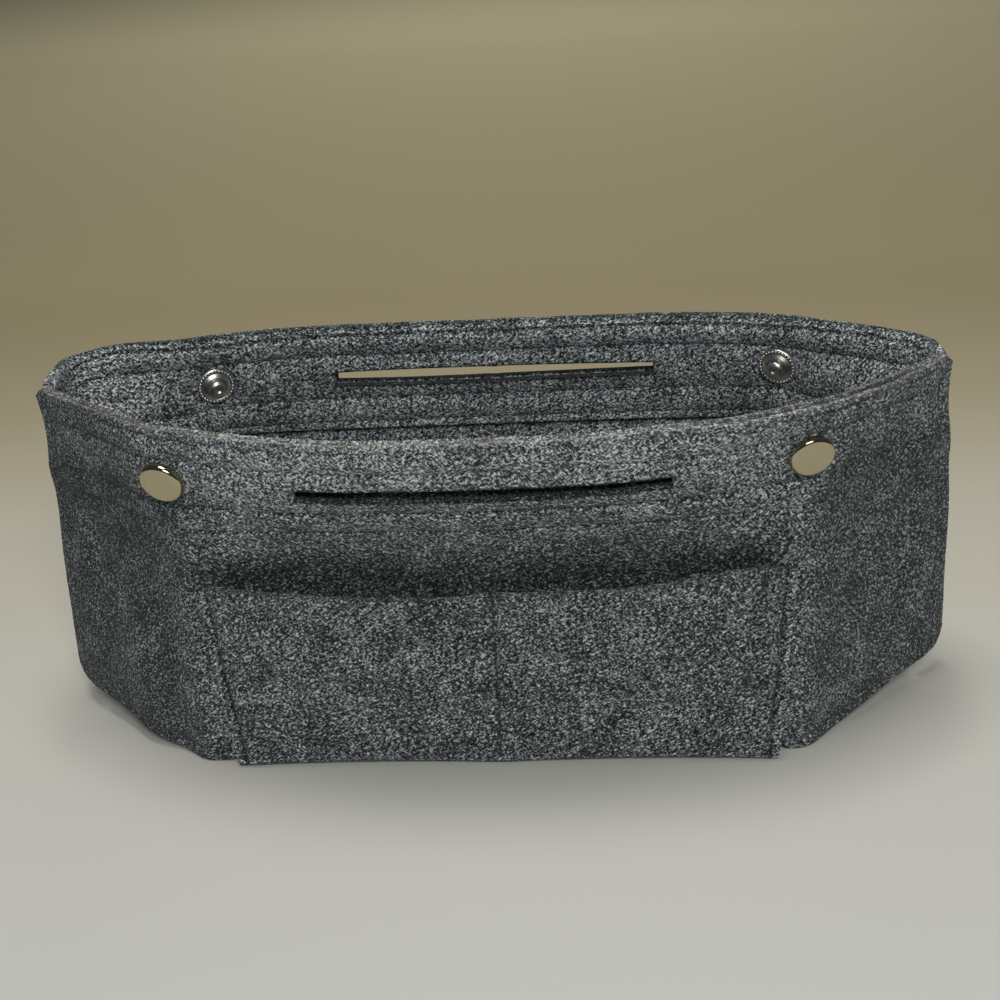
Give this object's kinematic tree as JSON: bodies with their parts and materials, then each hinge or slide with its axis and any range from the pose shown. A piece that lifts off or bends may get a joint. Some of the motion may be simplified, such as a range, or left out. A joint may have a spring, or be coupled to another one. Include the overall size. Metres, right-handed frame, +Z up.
{
  "type": "purse organizer insert",
  "caption": "Boat-shaped felt liner that stands in a handbag, with hand slots, sewn outer pockets and press studs that draw the open top together.",
  "frame": {"origin": "centre of the flat underside that the insert stands on", "axes": "+X along the length towards the right end, -Y towards the front wall with the polished caps, +Z up towards the open rim"},
  "size_m": [0.2702, 0.0946, 0.1096],
  "materials": {
    "felt": "matte",
    "thread": "matte",
    "nickel": "polished",
    "spring_wire": "satin"
  },
  "bodies": {
    "felt_liner": {"front_panel": "felt", "rear_panel": "felt", "front_facing": "felt", "rear_facing": "felt", "base_panel": "felt", "pocket_strip": "felt", "front_rim_stitch": "thread", "front_slot_upper_stitch": "thread", "front_slot_lower_stitch": "thread", "front_facing_stitch": "thread", "rear_rim_stitch": "thread", "rear_slot_upper_stitch": "thread", "rear_slot_lower_stitch": "thread", "rear_facing_stitch": "thread", "front_pocket_left_stitch": "thread", "front_pocket_middle_stitch": "thread", "front_pocket_right_stitch": "thread", "rear_pocket_left_stitch": "thread", "rear_pocket_middle_stitch": "thread", "rear_pocket_right_stitch": "thread", "front_base_left_stitch": "thread", "front_base_right_stitch": "thread", "rear_base_left_stitch": "thread", "rear_base_right_stitch": "thread", "left_side_seam": "thread", "right_side_seam": "thread"},
    "front_left_snap": {"left_snap_cap": "nickel", "left_snap_socket": "nickel", "left_snap_spring": "spring_wire"},
    "front_right_snap": {"right_snap_cap": "nickel", "right_snap_socket": "nickel", "right_snap_spring": "spring_wire"},
    "rear_left_snap": {"left_snap_stud": "nickel", "left_snap_eyelet": "nickel"},
    "rear_right_snap": {"right_snap_stud": "nickel", "right_snap_eyelet": "nickel"}
  },
  "joints": [
    {"name": "front_left_fasten", "type": "hinge", "parent": "felt_liner", "child": "front_left_snap", "pos_m": [-0.1418, -0.01966, 0.08115], "axis": [-0.2217, 0.0042, 0.9751], "range_deg": [0, 26.99], "stiffness_Nm_per_rad": 0.02, "deforming": ["front_panel", "front_facing", "rear_panel", "rear_facing", "left_snap_spring", "right_snap_spring"]},
    {"name": "front_right_fasten", "type": "hinge", "parent": "felt_liner", "child": "front_right_snap", "pos_m": [0.13755, -0.01796, 0.08908], "axis": [-0.0903, -0.0085, -0.9959], "range_deg": [0, 26.56], "stiffness_Nm_per_rad": 0.02},
    {"name": "rear_left_fasten", "type": "hinge", "parent": "felt_liner", "child": "rear_left_snap", "pos_m": [-0.14835, 0.01337, 0.10742], "axis": [-0.2165, -0.0258, -0.9759], "range_deg": [0, 24.12], "stiffness_Nm_per_rad": 0.02},
    {"name": "rear_right_fasten", "type": "hinge", "parent": "felt_liner", "child": "rear_right_snap", "pos_m": [0.14296, 0.01324, 0.10883], "axis": [-0.2608, 0.0257, 0.9651], "range_deg": [0, 25.22], "stiffness_Nm_per_rad": 0.02}
  ],
  "couplings": [
    {"joint": "front_right_fasten", "follows": "front_left_fasten", "ratio": 0.98344},
    {"joint": "rear_left_fasten", "follows": "front_left_fasten", "ratio": 0.89286},
    {"joint": "rear_right_fasten", "follows": "front_left_fasten", "ratio": 0.93366}
  ]
}
